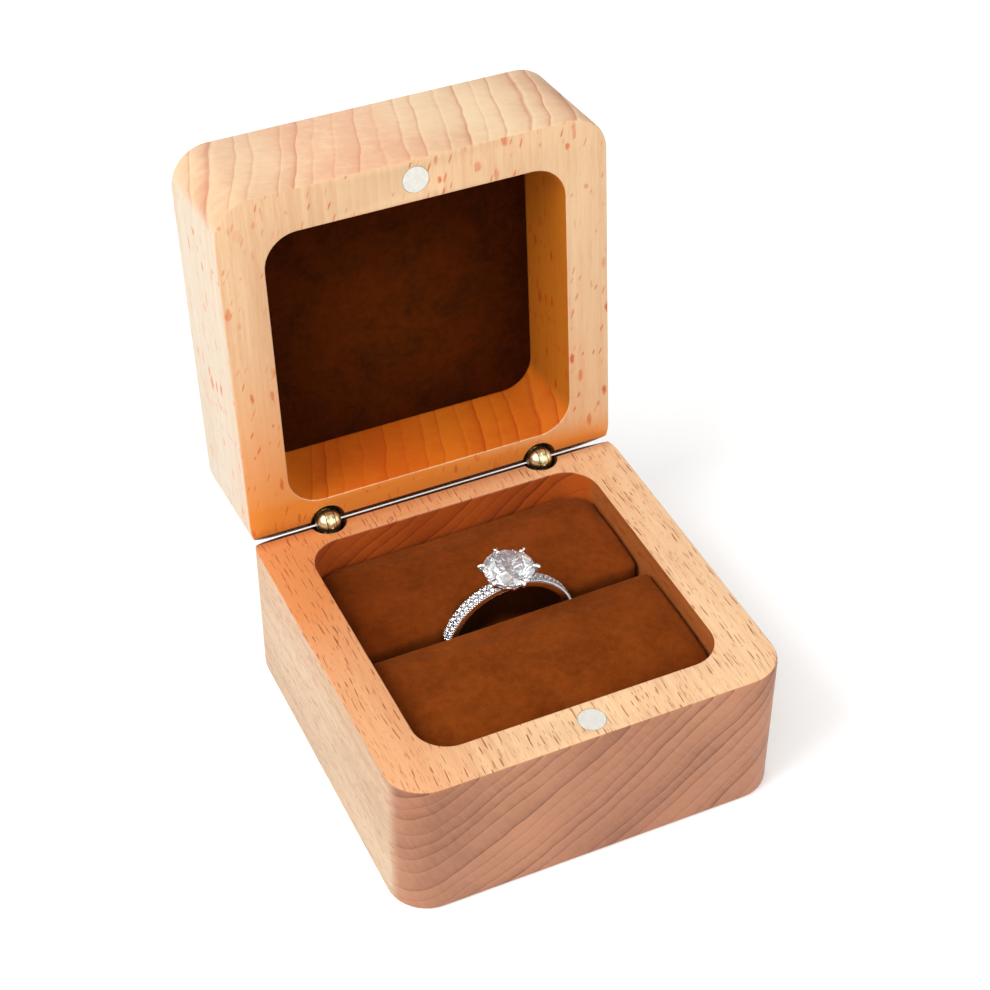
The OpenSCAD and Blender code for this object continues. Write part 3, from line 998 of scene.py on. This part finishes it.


# Settings of the two blocks' beech, in mm. rays are settings for dashes(). warm_side and warm_hinge say how
# much warmer the left and hinge sides are, and edge_shade how much painted shade darkens the rim at the
# hinge.
# blush is the middle, half width and amount of a pink zone, calm is how much fainter the bands are at the
# left, and patchy is how unevenly the rays are spread. Of the tones, those of the faces towards the sides are
# painted light, the cavity tones are painted shade, and bevel and bore are painted shade at the hinge.
BASE_LOOK = {
    "pith": (-75, 115), "ring_gap": 2.4, "ring_strength": 0.95, "calm": 0.5, "blush": (2.0, 14.0, 0.25),
    "warm_side": 0.5, "warm_hinge": 0.0, "edge_shade": 0.4, "patchy": 0.2,
    "rays": [
        {"cell": (0.85, 3.3), "half": (0.085, 1.2), "strength": 0.95, "share": 0.85},
        {"cell": (0.55, 1.9), "half": (0.055, 0.55), "strength": 0.7, "share": 0.6},
    ],
    "tones": {
        "light": srgb(218, 181, 139), "dark": srgb(196, 145, 105), "warm": srgb(199, 124, 71),
        "painted_lit_flank": srgb(182, 158, 131), "painted_lit_flank_dark": srgb(158, 128, 98), "ray": srgb(138, 70, 34),
        "end_light": srgb(173, 118, 86), "end_dark": srgb(108, 62, 40), "blush": srgb(144, 90, 66),
        "cavity_shade_side": (0.68, 0.28, 0.09), "cavity_shade_end": (1.0, 0.42, 0.07),
        "bevel": (0.5, 0.25, 0.1), "bore": (0.15, 0.08, 0.03),
    },
}
LID_LOOK = {
    "pith": (-190, 95), "ring_gap": 3.0, "ring_strength": 0.85, "calm": 0.3, "blush": (-7.0, 13.0, 0.45),
    "warm_side": 0.0, "warm_hinge": 0.85, "edge_shade": 0.2, "patchy": 0.6,
    "rays": [
        {"cell": (2.8, 3.8), "half": (0.3, 0.9), "strength": 1.0, "share": 0.45},
        {"cell": (1.6, 2.3), "half": (0.14, 0.6), "strength": 0.9, "share": 0.5, "slant": 0.35},
        {"cell": (6.0, 5.5), "half": (0.5, 1.2), "strength": 0.85, "share": 0.4},
    ],
    "tones": {
        "light": srgb(207, 173, 134), "dark": srgb(192, 146, 107), "warm": srgb(207, 121, 43),
        "painted_lit_flank": srgb(187, 178, 163), "painted_lit_flank_dark": srgb(180, 162, 138), "ray": srgb(188, 84, 28),
        "end_light": srgb(208, 181, 144), "end_dark": srgb(174, 114, 82), "blush": srgb(198, 130, 98),
        "cavity_shade_side": (0.88, 0.32, 0.022), "cavity_shade_end": (1.0, 0.34, 0.026),
        "bevel": (0.5, 0.25, 0.1), "bore": (0.15, 0.08, 0.03),
    },
}

place(base_wood(), "base", beech("base_beech", None, BASE_LOOK), "beech", ["base_block"])
place(lid_wood(), "lid", beech("lid_beech", SHUT, LID_LOOK), "beech", ["lid_block"])

# Spots in the velvet, in mm: painted shadow in the mouth behind the ring, a darker patch at the rear pad's
# left end, and on the lining painted light in the middle, so that its edge looks shaded
PAINTED_MOUTH_SHADOW = ((MOUTH_X / MM, 2.6, 17.0), (10.4, 6.6, 6.0), 0.8, 1.05, (0.12, 0.1, 0.08))
LEFT_END = ((-26.0, 12.0, 18.0), (22.0, 22.0, 22.0), 0.2, 1.1, (0.74, 0.68, 0.64))
LINING_LIGHT_AND_SHADE = ((0.0, 4.5, (LID_Z + LID_CAVITY_H) / MM), (21.0, 17.5, 20.0), 0.1, 1.1, (1.75, 1.85, 1.6))
FRONT_VELVET = velvet("front_velvet", srgb(126, 59, 18), srgb(90, 39, 9), None, 0.12)
REAR_VELVET = velvet("rear_velvet", srgb(127, 59, 19), srgb(92, 40, 9), None, 0.12, 0.05, (PAINTED_MOUTH_SHADOW, LEFT_END))
DARK_VELVET = velvet("dark_velvet", srgb(67, 25, 4), srgb(35, 14, 3), SHUT, 0.04, 0.06, (LINING_LIGHT_AND_SHADE,))
FOAM = open_foam("open_foam")
front_pad, front_core = pad_and_foam(
    "front", radii=(4.8 * MM, 0.8 * MM), crown_y=-8 * MM, falls=(1.2 * MM, 0.3 * MM, -0.15 * MM),
    edge_round=0.5 * MM, lean=0.7 * MM)
rear_pad, rear_core = pad_and_foam(
    "rear", radii=(0.8 * MM, 4.8 * MM), crown_y=10.5 * MM, falls=(0.8 * MM, 0.7 * MM, -0.15 * MM),
    edge_round=0.6 * MM, lean=0.9 * MM, mouth=6.2 * MM)
place(front_pad, "base", FRONT_VELVET, "cushion_velvet", ["front_cushion_velvet"])
place(rear_pad, "base", REAR_VELVET, "cushion_velvet", ["rear_cushion_velvet"])
place(front_core, "base", FOAM, "cushion_foam", ["front_cushion_foam"])
place(rear_core, "base", FOAM, "cushion_foam", ["rear_cushion_foam"])
place(lid_lining(), "lid", DARK_VELVET, "lining_velvet", ["lid_lining_velvet"])

GOLD = white_gold("white_gold")
DIAMOND = diamond("diamond", (1.0, 1.0, 1.0), (0.95, 0.97, 1.0), 0.84)
SMALL_DIAMOND = diamond("small_diamond", (0.8, 0.82, 0.85), (0.6, 0.63, 0.68), 1.0)
band, beads = ring_shank()
place(band, "ring", GOLD, "white_gold", ["ring_shank"])
place(beads, "ring", GOLD, "white_gold")
place(ring_head(), "ring", GOLD, "white_gold", ["ring_head"])
place(centre_stone(), "ring", DIAMOND, "diamond", ["ring_centre_stone"])
place(pave_stones(), "ring", SMALL_DIAMOND, "diamond", ["ring_pave_stones"])

SIDES = ("left", "right")
finish_cad([f"{side}_hinge_{half}_barrel" for half in ("base", "lid") for side in SIDES],
           polished_brass("hinge_brass"), 0.09 * MM)
finish_cad([f"{side}_hinge_pin" for side in SIDES], polished_brass("pin_brass"), 0.05 * MM)
finish_cad(["base_magnet"], satin_nickel("base_nickel"), 0.1 * MM)
finish_cad(["lid_magnet"], satin_nickel("lid_nickel", SHUT), 0.1 * MM)
finish_cad(["cushion_card", "lid_lining_card"], greyboard("greyboard"))


# ---------------------------------------------------------------- studio

def studio():
    """Uneven white surroundings for the metal and the stones to reflect, white to the camera, and a floor."""
    world = bpy.data.worlds.new("studio")
    bpy.context.scene.world = world
    world.use_nodes = True
    tree = world.node_tree
    background = tree.nodes["Background"]
    direction = tree.nodes.new("ShaderNodeTexCoord")
    panels = tree.nodes.new("ShaderNodeTexNoise")
    panels.inputs["Scale"].default_value = 1.7
    panels.inputs["Detail"].default_value = 1.0
    tree.links.new(direction.outputs["Generated"], panels.inputs["Vector"])
    strength = tree.nodes.new("ShaderNodeMapRange")
    strength.interpolation_type = "SMOOTHSTEP"
    for key, value in {"From Min": 0.4, "From Max": 0.52, "To Min": 0.22, "To Max": 1.46}.items():
        strength.inputs[key].default_value = value
    tree.links.new(panels.outputs["Fac"], strength.inputs["Value"])
    path = tree.nodes.new("ShaderNodeLightPath")
    seen = tree.nodes.new("ShaderNodeMix")
    seen.inputs["B"].default_value = 1.0
    tree.links.new(path.outputs["Is Camera Ray"], seen.inputs["Factor"])
    tree.links.new(strength.outputs["Result"], seen.inputs["A"])
    background.inputs["Color"].default_value = (1.0, 1.0, 1.0, 1.0)
    tree.links.new(seen.outputs["Result"], background.inputs["Strength"])

    bm = bmesh.new()
    bmesh.ops.create_grid(bm, x_segments=1, y_segments=1, size=0.6)
    floor = finished(bm, "floor")
    floor.data.materials.append(floor_paint("floor_paint"))


def area_light(name, spot, target, size, watts, colour=(1.0, 1.0, 1.0)):
    data = bpy.data.lights.new(name, "AREA")
    data.size = size
    data.energy = watts
    data.color = colour
    light = bpy.data.objects.new(name, data)
    bpy.context.scene.collection.objects.link(light)
    light.location = spot
    light.rotation_euler = (Vector(target) - Vector(spot)).to_track_quat("-Z", "Y").to_euler()


def camera():
    """Front left of the box and well above it, at the distance the box's converging edges call for."""
    azimuth = math.radians(-25.04)
    elevation = math.radians(40.72)
    roll = math.radians(0.21)
    distance = 320.8 * MM
    aim = Vector((1.98, 9.33, 35.79)) * MM
    data = bpy.data.cameras.new("camera")
    data.sensor_width = 36
    data.lens = 80.4
    data.clip_start = 0.01
    view = bpy.data.objects.new("camera", data)
    bpy.context.scene.collection.objects.link(view)
    level = math.cos(elevation)
    back = Vector((math.sin(azimuth) * level, -math.cos(azimuth) * level, math.sin(elevation)))
    right = Vector((math.cos(azimuth), math.sin(azimuth), 0))
    up = back.cross(right)
    tilted_right = right * math.cos(roll) + up * math.sin(roll)
    tilted_up = up * math.cos(roll) - right * math.sin(roll)
    spot = aim + back * distance
    view.matrix_world = Matrix((
        (tilted_right.x, tilted_up.x, back.x, spot.x),
        (tilted_right.y, tilted_up.y, back.y, spot.y),
        (tilted_right.z, tilted_up.z, back.z, spot.z),
        (0, 0, 0, 1),
    ))
    bpy.context.scene.camera = view


studio()
area_light("key", (-0.36, -0.05, 0.36), (0, 0, 0.03), 0.30, 2.05)
area_light("fill", (0.10, -0.45, 0.40), (0, 0, 0.03), 0.40, 0.7)
# Two small bright lights that only the metal and the stones show much of
area_light("left_sparkle", (-0.22, -0.30, 0.45), (0, 0, 0.03), 0.09, 0.16)
area_light("right_sparkle", (0.14, -0.16, 0.55), (0, 0, 0.03), 0.09, 0.16)
camera()
bpy.context.scene.view_settings.view_transform = "Standard"
